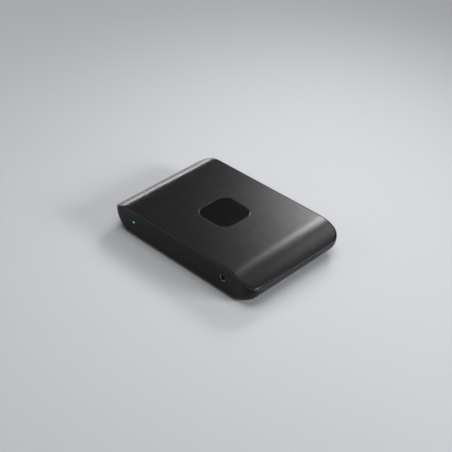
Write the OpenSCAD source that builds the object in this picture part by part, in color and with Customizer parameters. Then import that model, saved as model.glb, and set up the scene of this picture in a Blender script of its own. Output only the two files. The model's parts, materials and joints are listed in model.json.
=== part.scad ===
// Video capture box: an arched cover on a round-sided tray, with board, sockets and cooling inside.
// Millimetres. The origin is on the table under the middle of the box, the front faces -Y, the top +Z.

/* [Body] */
// Overall width, from side to side
body_w = 112; // [108:1:124]
// Overall depth, from the front face to the back face
body_d = 72; // [70:1:84]
// Overall height, from the table to the flat top
body_h = 18; // [17.5:0.25:20]
// Corner radius seen from above
corner_r = 7; // [5:0.5:9]
// Thickness of the tray's walls and floor
wall = 2; // [1.6:0.1:2.4]
// Radius of the front and back bottom edges
edge_r = 1.6; // [0.8:0.1:1.9]

/* [Cover] */
// Run from the edge of the flat top to the side of the body
shoulder_run = 14; // [12:0.5:16]
// Radius where the flat top turns down
shoulder_r = 12; // [8:0.5:16]
// Angle that the shoulder turns through
shoulder_turn = 24; // [18:1:28]
// Radius of the long flank below the shoulder
flank_r = 50; // [42:1:80]
// Thickness of the cover
cover_t = 1.5; // [1.2:0.1:2]
// Width of the tray's rim round the cover
rim = 0.5; // [0.4:0.05:0.8]
// How far the rim lies below the cover's surface
rim_drop = 0.1; // [0:0.05:0.3]
// Open seam between the rim and the cover's edge
seam = 0.2; // [0.15:0.05:0.3]
// Room between the cover and its ledge
seat_gap = 0.05; // [0.02:0.01:0.1]
// Depth of the locating bars under the cover
bar_h = 2; // [1:0.25:3]
// Thickness of the locating bars
bar_t = 1; // [0.8:0.1:1.4]
// Room between the locating bars and the tray's walls
bar_gap = 0.15; // [0.1:0.05:0.3]

/* [Inlay] */
// Width of the gloss inlay in the top
inlay_w = 24; // [16:1:30]
// Corner radius of the inlay
inlay_r = 6; // [2:0.5:8]
// Thickness of the inlay
inlay_t = 0.4; // [0.3:0.05:0.6]
// How far the inlay's face lies below the top
inlay_sink = 0.2; // [0.1:0.05:0.3]
// Room round the inlay in its recess
inlay_gap = 0.1; // [0.05:0.05:0.2]

/* [Feet] */
// Diameter of a rubber foot
foot_d = 8; // [6:0.5:8.5]
// Thickness of a rubber foot
foot_t = 1.6; // [1.2:0.1:2]
// Height of the tray above the table
foot_proud = 0.8; // [0.5:0.1:1]
// Edge radius of a foot
foot_edge_r = 0.4; // [0.2:0.1:0.5]
// Room round a foot in its recess
foot_gap = 0.1; // [0.05:0.05:0.2]
// Distance of the feet from the body's sides
foot_inset_x = 15.5; // [15.5:0.5:17]
// Distance of the feet from the front and back faces
foot_inset_y = 10; // [9:0.5:12]

/* [Case screws] */
// Thread diameter
screw_d = 2; // [1.6:0.1:2.2]
// Length below the head
screw_l = 8; // [7:0.5:10]
// Head diameter
head_d = 3.6; // [3:0.1:4]
// Head height
head_h = 1.4; // [1:0.1:1.6]
// Length of the cross slots in a head
slot_l = 2.4; // [2:0.1:2.6]
// Width of the cross slots
slot_w = 0.5; // [0.4:0.1:0.7]
// Depth of the cross slots
slot_h = 0.7; // [0.4:0.1:0.8]
// Diameter of the posts in the tray and the bosses in the cover
post_d = 5.4; // [5.2:0.1:5.6]
// Room round a screw that passes through
hole_gap = 0.15; // [0.1:0.05:0.25]
// Room round a thread in its pilot hole
thread_gap = 0.03; // [0.02:0.01:0.05]
// Room below a head and beyond a tip
end_gap = 0.1; // [0.1:0.1:0.4]

/* [Board] */
// Board thickness
board_t = 1.6; // [1.2:0.1:1.8]
// Height of the posts that carry the board
board_lift = 2.8; // [2.4:0.1:3.2]
// Room between the board and the front and back walls
board_gap = 1; // [0.5:0.25:1.5]
// Room between the board and the rounded sides
board_side_gap = 2.5; // [1:0.25:3]
// Corner radius of the board
board_r = 3; // [2:0.5:4]

/* [Sockets] */
// Sheet thickness of the socket shells
shell_t = 0.3; // [0.25:0.05:0.35]
// How far the socket mouths lie inside the back face
mouth_in = 0.3; // [0.1:0.1:0.5]
// Room round a socket in the back wall
port_gap = 0.25; // [0.15:0.05:0.4]
// Room between an insulator and its shell
plug_gap = 0.05; // [0.03:0.01:0.1]
// Width of a contact
pin_w = 0.25; // [0.2:0.05:0.3]
// Thickness of a contact
pin_t = 0.12; // [0.1:0.02:0.16]
// Bare end of a tongue beyond its contacts
pin_end = 0.5; // [0.3:0.1:0.8]

/* [HDMI sockets] */
// Inside width of the mouth
hdmi_w = 14; // [13.9:0.05:14.2]
// Inside height of the mouth
hdmi_h = 4.55; // [4.5:0.05:4.7]
// Inside width of the narrow lower edge
hdmi_foot_w = 10.2; // [9.8:0.1:10.8]
// Height of the upright sides
hdmi_side_h = 2.3; // [2:0.1:2.6]
// Length of the shell
hdmi_l = 11.4; // [10.5:0.1:12]
// Width of the tongue
hdmi_tongue_w = 11.4; // [11:0.1:11.6]
// Thickness of the tongue
hdmi_tongue_t = 1.2; // [1:0.1:1.3]
// Middle of the tongue above the inside of the shell's floor
hdmi_tongue_z = 2.7; // [2.6:0.05:2.8]
// How far the tongue lies inside the mouth
hdmi_tongue_in = 2.3; // [2.2:0.1:3]
// Length of the block that closes the shell's back
hdmi_block_l = 3.5; // [2.5:0.1:4]
// Contacts below the tongue, one more than above it
hdmi_pins = 10; // [8:1:10]
// Pitch of the contacts
hdmi_pitch = 1; // [0.8:0.05:1.1]
// Distance of the input socket's middle from the body's right side
hdmi_in_inset = 30; // [29:0.5:31]
// Middle of the output socket, from the body's middle
hdmi_out_x = 0; // [-2:0.5:2]

/* [USB-C socket] */
// Inside width of the mouth
usb_w = 8.34; // [8.3:0.02:8.4]
// Inside height of the mouth
usb_h = 2.56; // [2.54:0.02:2.6]
// Length of the shell
usb_l = 7.9; // [7.3:0.1:9]
// Width of the tongue
usb_tongue_w = 6.7; // [6.5:0.1:6.8]
// Thickness of the tongue
usb_tongue_t = 0.7; // [0.6:0.05:0.75]
// How far the tongue lies inside the mouth
usb_tongue_in = 0.9; // [0.7:0.1:1.2]
// Length of the block that closes the shell's back
usb_block_l = 2; // [1.5:0.1:3]
// Contacts on each side of the tongue
usb_pins = 12; // [8:1:12]
// Pitch of the contacts
usb_pitch = 0.5; // [0.45:0.05:0.55]
// Distance of the socket's middle from the body's left side
usb_inset = 32; // [31:0.5:33]

/* [Audio jack] */
// Distance of the jack's axis from the body's right side
jack_inset = 21.8; // [21.6:0.1:22.5]
// Bore of the metal sleeve
jack_bore_d = 3.6; // [3.56:0.02:3.7]
// Wall of the metal sleeve
sleeve_t = 0.5; // [0.4:0.05:0.6]
// Length of the metal sleeve
sleeve_l = 3.5; // [3:0.25:4.5]
// Room round the sleeve in the jack's body
sleeve_gap = 0.05; // [0.03:0.01:0.1]
// Diameter of the space behind the sleeve
barrel_d = 4.5; // [4.2:0.1:4.6]
// Width of the jack's body
jack_w = 6; // [5.8:0.1:6.2]
// Height of the jack's body
jack_h = 5.9; // [5.8:0.1:6.2]
// Length of the jack's body
jack_l = 13; // [12.6:0.2:14]
// Thickness of the jack's back wall
jack_back_t = 0.8; // [0.6:0.1:1.2]
// Height of the jack's axis above the board
jack_axis_h = 3; // [2.9:0.05:3.1]
// Room between the jack and the front wall
jack_gap = 0.1; // [0.05:0.05:0.3]
// Diameter of the hole in the front wall
jack_hole_d = 4.2; // [4:0.1:4.6]
// Width of a contact spring
spring_w = 1.2; // [1:0.1:1.4]
// Thickness of a contact spring
spring_t = 0.25; // [0.2:0.05:0.3]
// Length of a contact spring
spring_l = 4; // [3:0.25:4.5]
// Room round a spring in its slot
spring_gap = 0.1; // [0.05:0.05:0.15]

/* [Indicator] */
// Distance of the light's axis from the body's left side
light_inset = 19; // [18.5:0.25:19.5]
// Diameter of the light pipe
pipe_d = 1.5; // [1.2:0.1:1.8]
// Height of the light pipe's axis above the board
pipe_axis_h = 3.1; // [2.9:0.1:3.4]
// Length of the light pipe, to the front of its elbow
pipe_l = 5; // [4:0.25:5.5]
// Diameter of the stop behind the front wall
stop_d = 2.6; // [2.4:0.1:3]
// Thickness of the stop
stop_t = 0.8; // [0.5:0.1:1]
// Room round the light pipe
pipe_gap = 0.08; // [0.05:0.01:0.12]
// Length and width of the lamp on the board
lamp_l = 1.6; // [1.4:0.1:2]
// Height of the lamp
lamp_h = 0.6; // [0.5:0.1:0.8]

/* [Chips] */
// Side of the capture processor
cpu_w = 17; // [15:0.5:17]
// Height of the capture processor
cpu_h = 1.4; // [1:0.1:1.6]
// Width of a memory chip
ram_w = 8; // [7:0.5:8]
// Length of a memory chip
ram_l = 12.5; // [11:0.5:14]
// Room between the processor and a memory chip
ram_gap = 0.8; // [0.5:0.1:1]
// Height of the smaller chips
chip_h = 0.9; // [0.7:0.1:1]
// Side of the video receiver
receiver_w = 10; // [9:0.5:11]
// Side of the video driver
driver_w = 7; // [6:0.5:8]
// Side of the socket controller
controller_w = 8; // [7:0.5:9]
// Side of the audio converter
codec_w = 5; // [4:0.5:5]
// Length of the program memory
flash_l = 6; // [5:0.5:6]
// Width of the program memory
flash_w = 5; // [4:0.5:6]
// Inset of a chip's upper body from its base
chip_step = 0.4; // [0.3:0.1:0.6]
// Thickness of a chip's base
chip_base_t = 0.35; // [0.25:0.05:0.45]
// Room between neighbouring parts on the board
part_gap = 1; // [0.8:0.1:1.5]

/* [Small parts] */
// Length of a crystal
crystal_l = 3.2; // [2.5:0.1:3.5]
// Width of a crystal
crystal_w = 2.5; // [2:0.1:2.5]
// Height of a crystal
crystal_h = 0.8; // [0.6:0.1:1]
// Side of an inductor
coil_w = 5; // [4:0.5:5.5]
// Width of an inductor across its cut corners
coil_across = 6.2; // [5.8:0.1:6.6]
// Height of an inductor
coil_h = 3; // [2:0.25:3.5]
// Pitch of the inductors
coil_pitch = 8; // [7:0.5:9]
// Number of inductors, and of bulk capacitors
power_count = 3; // [2:1:3]
// Diameter of a bulk capacitor
can_d = 5; // [4:0.5:5]
// Height of a bulk capacitor
can_h = 4.5; // [3.5:0.25:4.5]
// Length of a ceramic capacitor
cap_l = 1.6; // [1.2:0.1:1.6]
// Width and height of a ceramic capacitor
cap_w = 0.8; // [0.6:0.1:0.8]
// Pitch of the ceramic capacitors
cap_pitch = 4; // [3:0.5:5]
// Number of ceramic capacitors in a row
cap_count = 8; // [4:1:9]

/* [Cooling] */
// Middle of the heat sink from side to side
sink_x = -4; // [-5:0.5:-3]
// Middle of the heat sink from front to back
sink_y = -6; // [-7:0.5:-5]
// Width of the heat sink
sink_w = 46; // [44:0.5:47]
// Depth of the heat sink
sink_d = 30; // [28:0.5:31]
// Thickness of the heat sink's base
sink_t = 2; // [1.5:0.1:2.2]
// Height of a fin
fin_h = 3; // [2:0.25:3.5]
// Thickness of a fin
fin_t = 1.2; // [0.8:0.1:1.4]
// Pitch of the fins
fin_pitch = 4; // [3:0.5:4.5]
// Number of fins
fin_count = 8; // [6:1:8]
// Thickness of the thermal pad
pad_t = 1; // [0.5:0.1:1.2]
// Diameter of a standoff
standoff_d = 4; // [3.6:0.1:4.4]
// Inset of the standoffs from the heat sink's edges
standoff_in = 3; // [2.6:0.1:3.2]
// Thread length of a sink screw in its standoff
sink_bite = 1.6; // [1:0.1:1.8]
// Width of the shield over the video receiver
shield_w = 14; // [13:0.5:14.5]
// Depth of the shield
shield_d = 14; // [12.5:0.5:15]
// Height of the shield
shield_h = 2.2; // [1.8:0.1:2.4]
// Sheet thickness of the shield
shield_t = 0.25; // [0.2:0.05:0.3]

/* [Hidden] */

// Smoothness of round shapes, and how far a cut runs past what it cuts
$fn = 64;
over = 1;

// Cross-section of the cover: flat top, shoulder arc, flank arc
half_w = body_w / 2;
half_d = body_d / 2;
flat_half = half_w - shoulder_run;
shoulder_c = [flat_half, body_h - shoulder_r];
flank_c = shoulder_c + (shoulder_r - flank_r) * [sin(shoulder_turn), cos(shoulder_turn)];
crease_z = flank_c.y + sqrt(flank_r ^ 2 - (half_w - flank_c.x) ^ 2);

// Round under the sides, from the crease to the floor
tray_z = foot_proud;
bilge_r = crease_z - tray_z;
bilge_x = half_w - bilge_r;
corner_steps = 8;
bilge_step = 9;

// Levels, from the floor up
recess_z = foot_t;
seat_z = recess_z + end_gap + head_h;
board_z = tray_z + wall + board_lift;
top_z = board_z + board_t;
sink_z = top_z + cpu_h + pad_t;

// Places of the feet and of the case screws above them
foot_x = half_w - foot_inset_x;
foot_y = half_d - foot_inset_y;
pilot_z = seat_z + screw_l + end_gap;

// Board outline, inside the rounded sides at the board's underside
board_half_w = bilge_x + sqrt((bilge_r - wall) ^ 2 - (crease_z - board_z) ^ 2) - board_side_gap;
board_half_d = half_d - wall - board_gap;

// Sockets, measured from the back face
mouth_y = half_d - mouth_in;
hdmi_in_x = half_w - hdmi_in_inset;
usb_x = usb_inset - half_w;
hdmi_back_y = mouth_y - hdmi_l;
hdmi_z = top_z + shell_t;
usb_z = top_z + shell_t + usb_h / 2;
slant = atan2(hdmi_h - hdmi_side_h, (hdmi_w - hdmi_foot_w) / 2);

// Jack and light pipe, measured from the front face
jack_x = half_w - jack_inset;
jack_y = wall + jack_gap - half_d;
jack_z = top_z + jack_axis_h;
spring_x = jack_bore_d / 2 + spring_gap;
spring_y = jack_y + sleeve_l + spring_l;
light_x = light_inset - half_w;
pipe_z = top_z + pipe_axis_h;
elbow_y = pipe_l - half_d;

// Rows of parts on the board
row_y = hdmi_back_y - 2 * part_gap;
flash_x = hdmi_out_x - driver_w / 2 - part_gap - flash_w / 2;
codec_y = jack_y + jack_l + part_gap + codec_w / 2;
cap_row_y = sink_y + sink_d / 2 + part_gap + cap_w / 2;
coil_x = part_gap + can_d + part_gap + coil_w / 2 - board_half_w;
can_x = part_gap + can_d / 2 - board_half_w;
ram_dx = cpu_w / 2 + ram_gap + ram_w / 2;
standoff_dx = sink_w / 2 - standoff_in;
standoff_dy = sink_d / 2 - standoff_in;

// Colours
black_satin = "#26272a";
black_tray = "#202124";
black_gloss = "#0b0b0c";
rubber_grey = "#1b1b1b";
board_green = "#17402c";
chip_black = "#2b2c2e";
steel = "#b9bcc0";
tin = "#c9ccd0";
gold = "#d2a743";
aluminium = "#a7abb0";
pad_grey = "#8f98a6";
brass = "#c7a254";
clear_teal = "#53e0c8";
coil_grey = "#4a4d52";
ceramic = "#b59a74";

// Copies of a shape at four points, mirrored about both middle planes
module at_corners(dx, dy) {
    for (sx = [-1, 1], sy = [-1, 1]) translate([sx * dx, sy * dy, 0]) children();
}

// Rectangle with round corners
module round_rect(w, d, r) {
    square([w - 2 * r, d], center = true);
    square([w, d - 2 * r], center = true);
    at_corners(w / 2 - r, d / 2 - r) circle(r);
}

// Body outline seen from above, moved inwards
module plan(inset) {
    round_rect(body_w - 2 * inset, body_d - 2 * inset, corner_r - inset);
}

// Right half of the area under the cover's surface, lowered square to that surface
module half_arch(drop) {
    turn_x = flat_half + (shoulder_r - drop) * sin(shoulder_turn);
    turn_z = shoulder_c.y + (shoulder_r - drop) * cos(shoulder_turn);
    translate([0, -drop]) square([flat_half, body_h]);
    translate([flat_half - over, -drop]) square([turn_x - flat_half + over, turn_z + drop]);
    translate([flat_half, -drop]) square([turn_x - flat_half + over, crease_z]);
    intersection() {
        translate(shoulder_c) circle(shoulder_r - drop);
        translate([flat_half, 0]) square([turn_x - flat_half, body_h]);
    }
    intersection() {
        translate(flank_c) circle(flank_r - drop);
        translate([turn_x, -drop]) square([half_w + over - turn_x, body_h + drop]);
    }
}

module arch(drop) {
    half_arch(drop);
    mirror([1, 0]) half_arch(drop);
}

// Block under the lowered surface, from front to back
module under_cover(drop) {
    rotate([90, 0, 0]) linear_extrude(body_d + 2 * over, center = true) arch(drop);
}

// One level of the tray: a rounded rectangle as a closed row of points
function level(hw, hd, r, z) = [
    for (q = [0:3], i = [0:corner_steps])
        let (a = 90 * (q + i / corner_steps),
             cx = (q == 0 || q == 3 ? 1 : -1) * (hw - r),
             cy = (q < 2 ? 1 : -1) * (hd - r))
            [cx + r * cos(a), cy + r * sin(a), z]
];

// How far a round bottom edge draws in at a height above the floor
function draw_in(r, h) = h < r ? r - sqrt(r ^ 2 - (r - h) ^ 2) : 0;

// Levels of the tray's surface moved inwards, from its floor up to the height of the top
function tub_levels(inset, edge) = [
    for (a = [90:-bilge_step:0])
        let (r = bilge_r - inset, h = r * (1 - sin(a)))
            level(bilge_x + r * cos(a), half_d - inset - draw_in(edge, h), corner_r - inset,
                  tray_z + inset + h),
    level(half_w - inset, half_d - inset, corner_r - inset, body_h + over)
];

// Solid through a stack of levels with equally many points
module loft(levels) {
    n = len(levels[0]);
    last = len(levels) - 1;
    sides = [
        for (k = [0:last - 1], i = [0:n - 1])
            let (a = k * n + i, b = k * n + (i + 1) % n)
                each [[a, a + n, b + n], [a, b + n, b]]
    ];
    polyhedron(
        points = [for (l = levels) each l],
        faces = concat([[for (i = [0:n - 1]) i]], sides, [[for (i = [n - 1:-1:0]) last * n + i]])
    );
}

// Bar or hole along Y, from a start towards +Y
module along_y(x, y, z, l) {
    translate([x, y + l, z]) rotate([90, 0, 0]) linear_extrude(l) children();
}

// Outline of an HDMI mouth, grown by a wall or shrunk by a gap, its inner floor at zero
module hdmi_outline(grow) {
    foot_x = hdmi_foot_w / 2 + grow * tan(slant / 2);
    knee_z = hdmi_h - hdmi_side_h - grow * tan((90 - slant) / 2);
    side_x = hdmi_w / 2 + grow;
    polygon([
        [-foot_x, -grow], [foot_x, -grow], [side_x, knee_z], [side_x, hdmi_h + grow],
        [-side_x, hdmi_h + grow], [-side_x, knee_z]
    ]);
}

// Outline of a USB-C mouth, grown by a wall or shrunk by a gap
module usb_outline(grow) {
    h = usb_h + 2 * grow;
    square([usb_w - usb_h, h], center = true);
    for (s = [-1, 1]) translate([s * (usb_w - usb_h) / 2, 0]) circle(d = h);
}

// Row of flat contacts along a tongue, standing on the height given
module contact_row(count, pitch, x, y, z, l) {
    first = x - (count - 1) * pitch / 2 - pin_w / 2;
    for (i = [0:count - 1]) translate([first + i * pitch, y, z]) cube([pin_w, l, pin_t]);
}

// Chip on the board: a thin base and a smaller moulded body
module chip(x, y, w, l, h) {
    translate([x - w / 2, y - l / 2, top_z]) cube([w, l, chip_base_t]);
    translate([x - w / 2 + chip_step, y - l / 2 + chip_step, top_z])
        cube([w - 2 * chip_step, l - 2 * chip_step, h]);
}

// Copies of a power part in a row from front to back
module at_power_parts(x) {
    for (i = [0:power_count - 1])
        translate([x, sink_y + (i - (power_count - 1) / 2) * coil_pitch, top_z]) children();
}

// Plain block on the board
module block(x, y, w, l, h) {
    translate([x - w / 2, y - l / 2, top_z]) cube([w, l, h]);
}

module top_cover() color(black_satin) difference() {
    union() {
        intersection() {
            difference() {
                under_cover(0);
                under_cover(cover_t);
            }
            linear_extrude(body_h + over) plan(rim + seam);
        }
        intersection() {
            at_corners(foot_x, foot_y) translate([0, 0, top_z]) cylinder(d = post_d, h = body_h);
            under_cover(cover_t / 2);
        }
        for (s = [-1, 1])
            translate([-flat_half, s * (half_d - wall - bar_gap - bar_t / 2) - bar_t / 2,
                       body_h - cover_t - bar_h])
                cube([2 * flat_half, bar_t, bar_h + cover_t / 2]);
    }
    translate([0, 0, body_h - inlay_t - inlay_sink]) linear_extrude(body_h)
        round_rect(inlay_w + 2 * inlay_gap, inlay_w + 2 * inlay_gap, inlay_r + inlay_gap);
    at_corners(foot_x, foot_y) translate([0, 0, top_z - over])
        cylinder(d = screw_d + 2 * thread_gap, h = pilot_z - top_z + over);
}

module top_inlay() color(black_gloss)
    translate([0, 0, body_h - inlay_t - inlay_sink]) linear_extrude(inlay_t)
        round_rect(inlay_w, inlay_w, inlay_r);

// Everything that is cut out of the tray's walls for the sockets, the jack and the light
module wall_openings() {
    for (x = [hdmi_in_x, hdmi_out_x])
        along_y(x, half_d - wall - over, hdmi_z, wall + 2 * over) hdmi_outline(shell_t + port_gap);
    along_y(usb_x, half_d - wall - over, usb_z, wall + 2 * over) usb_outline(shell_t + port_gap);
    along_y(jack_x, -half_d - over, jack_z, wall + 2 * over) circle(d = jack_hole_d);
    along_y(light_x, -half_d - over, pipe_z, wall + 2 * over) circle(d = pipe_d + 2 * pipe_gap);
}

module base_tray() color(black_tray) difference() {
    union() {
        difference() {
            intersection() {
                loft(tub_levels(0, edge_r));
                under_cover(rim_drop);
            }
            loft(tub_levels(wall, 0));
            difference() {
                linear_extrude(body_h + over) plan(rim);
                under_cover(cover_t + seat_gap);
            }
        }
        at_corners(foot_x, foot_y) translate([0, 0, tray_z + wall / 2])
            cylinder(d = post_d, h = board_z - tray_z - wall / 2);
    }
    wall_openings();
    at_corners(foot_x, foot_y) {
        cylinder(d = foot_d + 2 * foot_gap, h = recess_z);
        cylinder(d = head_d + 2 * hole_gap, h = seat_z);
        cylinder(d = screw_d + 2 * hole_gap, h = board_z + over);
    }
}

module rubber_feet() color(rubber_grey) at_corners(foot_x, foot_y) rotate_extrude() {
    translate([0, foot_edge_r]) square([foot_d / 2, foot_t - foot_edge_r]);
    square([foot_d / 2 - foot_edge_r, foot_t]);
    translate([foot_d / 2 - foot_edge_r, foot_edge_r]) circle(foot_edge_r);
}

// Screw that points up, its head's seat at zero, with a cross in the head's outer face
module screw(length) {
    difference() {
        translate([0, 0, -head_h]) cylinder(d = head_d, h = head_h);
        for (a = [0, 90]) rotate(a)
            translate([-slot_l / 2, -slot_w / 2, -head_h - over]) cube([slot_l, slot_w, slot_h + over]);
    }
    cylinder(d = screw_d, h = length);
}

module case_screws() color(steel)
    at_corners(foot_x, foot_y) translate([0, 0, seat_z]) screw(screw_l);

module main_board() color(board_green) difference() {
    translate([0, 0, board_z]) linear_extrude(board_t)
        round_rect(2 * board_half_w, 2 * board_half_d, board_r);
    at_corners(foot_x, foot_y) cylinder(d = screw_d + 2 * hole_gap, h = body_h);
}

module capture_processor() color(chip_black) chip(sink_x, sink_y, cpu_w, cpu_w, cpu_h);

module memory_chips() color(chip_black)
    for (s = [-1, 1]) chip(sink_x + s * ram_dx, sink_y, ram_w, ram_l, chip_h);

module usb_controller() color(chip_black)
    chip(usb_x, row_y - controller_w / 2, controller_w, controller_w, chip_h);

module video_receiver() color(chip_black)
    chip(hdmi_in_x, row_y - shield_d / 2, receiver_w, receiver_w, chip_h);

module video_driver() color(chip_black)
    chip(hdmi_out_x, row_y - driver_w / 2, driver_w, driver_w, chip_h);

module flash_memory() color(chip_black) chip(flash_x, row_y - flash_l / 2, flash_w, flash_l, chip_h);

module audio_codec() color(chip_black) chip(jack_x, codec_y, codec_w, codec_w, chip_h);

module crystals() color(tin) {
    block(usb_x - controller_w / 2 - part_gap - crystal_w / 2, row_y - crystal_l / 2,
          crystal_w, crystal_l, crystal_h);
    block(hdmi_out_x + driver_w / 2 + part_gap + crystal_w / 2, row_y - crystal_l / 2,
          crystal_w, crystal_l, crystal_h);
    block(jack_x - codec_w / 2 - part_gap - crystal_w / 2, codec_y, crystal_w, crystal_l, crystal_h);
}

module power_inductors() color(coil_grey)
    at_power_parts(coil_x) linear_extrude(coil_h) intersection() {
        square(coil_w, center = true);
        rotate(45) square(coil_across, center = true);
    }

module ceramic_capacitors() color(ceramic) {
    first = -(cap_count - 1) * cap_pitch / 2;
    for (i = [0:cap_count - 1]) {
        block(sink_x + first + i * cap_pitch, cap_row_y, cap_l, cap_w, cap_w);
        block(sink_x + first + i * cap_pitch, 2 * sink_y - cap_row_y, cap_l, cap_w, cap_w);
    }
}

module bulk_capacitors() color(tin)
    at_power_parts(can_x) cylinder(d = can_d, h = can_h);

module heat_sink() color(aluminium) difference() {
    translate([sink_x, sink_y, sink_z]) rotate([90, 0, 0]) linear_extrude(sink_d, center = true) {
        translate([-sink_w / 2, 0]) square([sink_w, sink_t]);
        for (i = [0:fin_count - 1])
            translate([(i - (fin_count - 1) / 2) * fin_pitch - fin_t / 2, 0])
                square([fin_t, sink_t + fin_h]);
    }
    translate([sink_x, sink_y, 0]) at_corners(standoff_dx, standoff_dy)
        cylinder(d = screw_d + 2 * hole_gap, h = body_h);
}

module thermal_pad() color(pad_grey)
    translate([sink_x - cpu_w / 2 + chip_step, sink_y - cpu_w / 2 + chip_step, top_z + cpu_h])
        cube([cpu_w - 2 * chip_step, cpu_w - 2 * chip_step, pad_t]);

module sink_standoffs() color(brass)
    translate([sink_x, sink_y, top_z]) at_corners(standoff_dx, standoff_dy) difference() {
        cylinder(d = standoff_d, h = sink_z - top_z);
        translate([0, 0, -over]) cylinder(d = screw_d + 2 * thread_gap, h = body_h);
    }

module sink_screws() color(steel)
    translate([sink_x, sink_y, sink_z + sink_t]) at_corners(standoff_dx, standoff_dy)
        rotate([180, 0, 0]) screw(sink_t + sink_bite);

module shield_can() color(tin) difference() {
    block(hdmi_in_x, row_y - shield_d / 2, shield_w, shield_d, shield_h);
    translate([hdmi_in_x - shield_w / 2 + shield_t, row_y - shield_d + shield_t, top_z - over])
        cube([shield_w - 2 * shield_t, shield_d - 2 * shield_t, shield_h - shield_t + over]);
}

module hdmi_shell(x) color(steel) difference() {
    along_y(x, hdmi_back_y, hdmi_z, hdmi_l) hdmi_outline(shell_t);
    along_y(x, hdmi_back_y - over, hdmi_z, hdmi_l + 2 * over) hdmi_outline(0);
}

module hdmi_insulator(x) color(chip_black) {
    along_y(x, hdmi_back_y, hdmi_z, hdmi_block_l) hdmi_outline(-plug_gap);
    translate([x - hdmi_tongue_w / 2, hdmi_back_y, hdmi_z + hdmi_tongue_z - hdmi_tongue_t / 2])
        cube([hdmi_tongue_w, hdmi_l - hdmi_tongue_in, hdmi_tongue_t]);
}

module hdmi_contacts(x) color(gold) {
    y = hdmi_back_y + hdmi_block_l;
    l = hdmi_l - hdmi_tongue_in - hdmi_block_l - pin_end;
    z = hdmi_z + hdmi_tongue_z;
    contact_row(hdmi_pins, hdmi_pitch, x, y, z - hdmi_tongue_t / 2 - pin_t, l);
    contact_row(hdmi_pins - 1, hdmi_pitch, x, y, z + hdmi_tongue_t / 2, l);
}

module hdmi_in_shell() hdmi_shell(hdmi_in_x);

module hdmi_in_insulator() hdmi_insulator(hdmi_in_x);

module hdmi_in_contacts() hdmi_contacts(hdmi_in_x);

module hdmi_out_shell() hdmi_shell(hdmi_out_x);

module hdmi_out_insulator() hdmi_insulator(hdmi_out_x);

module hdmi_out_contacts() hdmi_contacts(hdmi_out_x);

module usb_c_shell() color(steel) difference() {
    along_y(usb_x, mouth_y - usb_l, usb_z, usb_l) usb_outline(shell_t);
    along_y(usb_x, mouth_y - usb_l - over, usb_z, usb_l + 2 * over) usb_outline(0);
}

module usb_c_insulator() color(chip_black) {
    along_y(usb_x, mouth_y - usb_l, usb_z, usb_block_l) usb_outline(-plug_gap);
    translate([usb_x - usb_tongue_w / 2, mouth_y - usb_l, usb_z - usb_tongue_t / 2])
        cube([usb_tongue_w, usb_l - usb_tongue_in, usb_tongue_t]);
}

module usb_c_contacts() color(gold) {
    y = mouth_y - usb_l + usb_block_l;
    l = usb_l - usb_block_l - usb_tongue_in - pin_end;
    contact_row(usb_pins, usb_pitch, usb_x, y, usb_z - usb_tongue_t / 2 - pin_t, l);
    contact_row(usb_pins, usb_pitch, usb_x, y, usb_z + usb_tongue_t / 2, l);
}

// Slot right across the jack's body for the two springs
module spring_slot() {
    translate([jack_x - jack_w / 2 - over, spring_y - spring_gap, jack_z - spring_w / 2 - spring_gap])
        cube([jack_w + 2 * over, spring_l + 2 * spring_gap, spring_w + 2 * spring_gap]);
}

module audio_jack_body() color(chip_black) difference() {
    translate([jack_x - jack_w / 2, jack_y, top_z]) cube([jack_w, jack_l, jack_h]);
    along_y(jack_x, jack_y - over, jack_z, jack_l - jack_back_t + over) circle(d = barrel_d);
    along_y(jack_x, jack_y - over, jack_z, sleeve_l + over)
        circle(jack_bore_d / 2 + sleeve_t + sleeve_gap);
    spring_slot();
}

module audio_jack_sleeve() color(steel) along_y(jack_x, jack_y, jack_z, sleeve_l) difference() {
    circle(jack_bore_d / 2 + sleeve_t);
    circle(jack_bore_d / 2);
}

// Leaf beside the bore, an arm out through the slot and a leg down to the board
module audio_jack_springs() color(gold) for (s = [-1, 1]) translate([jack_x, spring_y, 0]) {
    arm_x = jack_w / 2 + spring_gap + spring_t;
    mirror([s < 0 ? 1 : 0, 0, 0]) {
        translate([spring_x, 0, jack_z - spring_w / 2]) cube([spring_t, spring_l, spring_w]);
        translate([spring_x, 0, jack_z - spring_w / 2]) cube([arm_x - spring_x, spring_t, spring_w]);
        translate([arm_x - spring_t, 0, top_z])
            cube([spring_t, spring_w, jack_z + spring_w / 2 - top_z]);
    }
}

module light_pipe() color(clear_teal) {
    along_y(light_x, -half_d, pipe_z, pipe_l + pipe_d / 2) circle(d = pipe_d);
    along_y(light_x, wall + pipe_gap - half_d, pipe_z, stop_t) circle(d = stop_d);
    lamp_z = top_z + lamp_h + pipe_gap;
    translate([light_x - pipe_d / 2, 0, 0]) rotate([90, 0, 90]) linear_extrude(pipe_d) polygon([
        [elbow_y, lamp_z], [elbow_y + pipe_d, lamp_z], [elbow_y + pipe_d, pipe_z - pipe_d / 2],
        [elbow_y, pipe_z + pipe_d / 2]
    ]);
}

module status_led() color(ceramic) block(light_x, elbow_y + pipe_d / 2, lamp_l, lamp_l, lamp_h);

top_cover();
top_inlay();
base_tray();
rubber_feet();
case_screws();
main_board();
capture_processor();
memory_chips();
usb_controller();
video_receiver();
video_driver();
flash_memory();
audio_codec();
crystals();
power_inductors();
ceramic_capacitors();
bulk_capacitors();
heat_sink();
thermal_pad();
sink_standoffs();
sink_screws();
shield_can();
hdmi_in_shell();
hdmi_in_insulator();
hdmi_in_contacts();
hdmi_out_shell();
hdmi_out_insulator();
hdmi_out_contacts();
usb_c_shell();
usb_c_insulator();
usb_c_contacts();
audio_jack_body();
audio_jack_sleeve();
audio_jack_springs();
light_pipe();
status_led();
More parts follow.
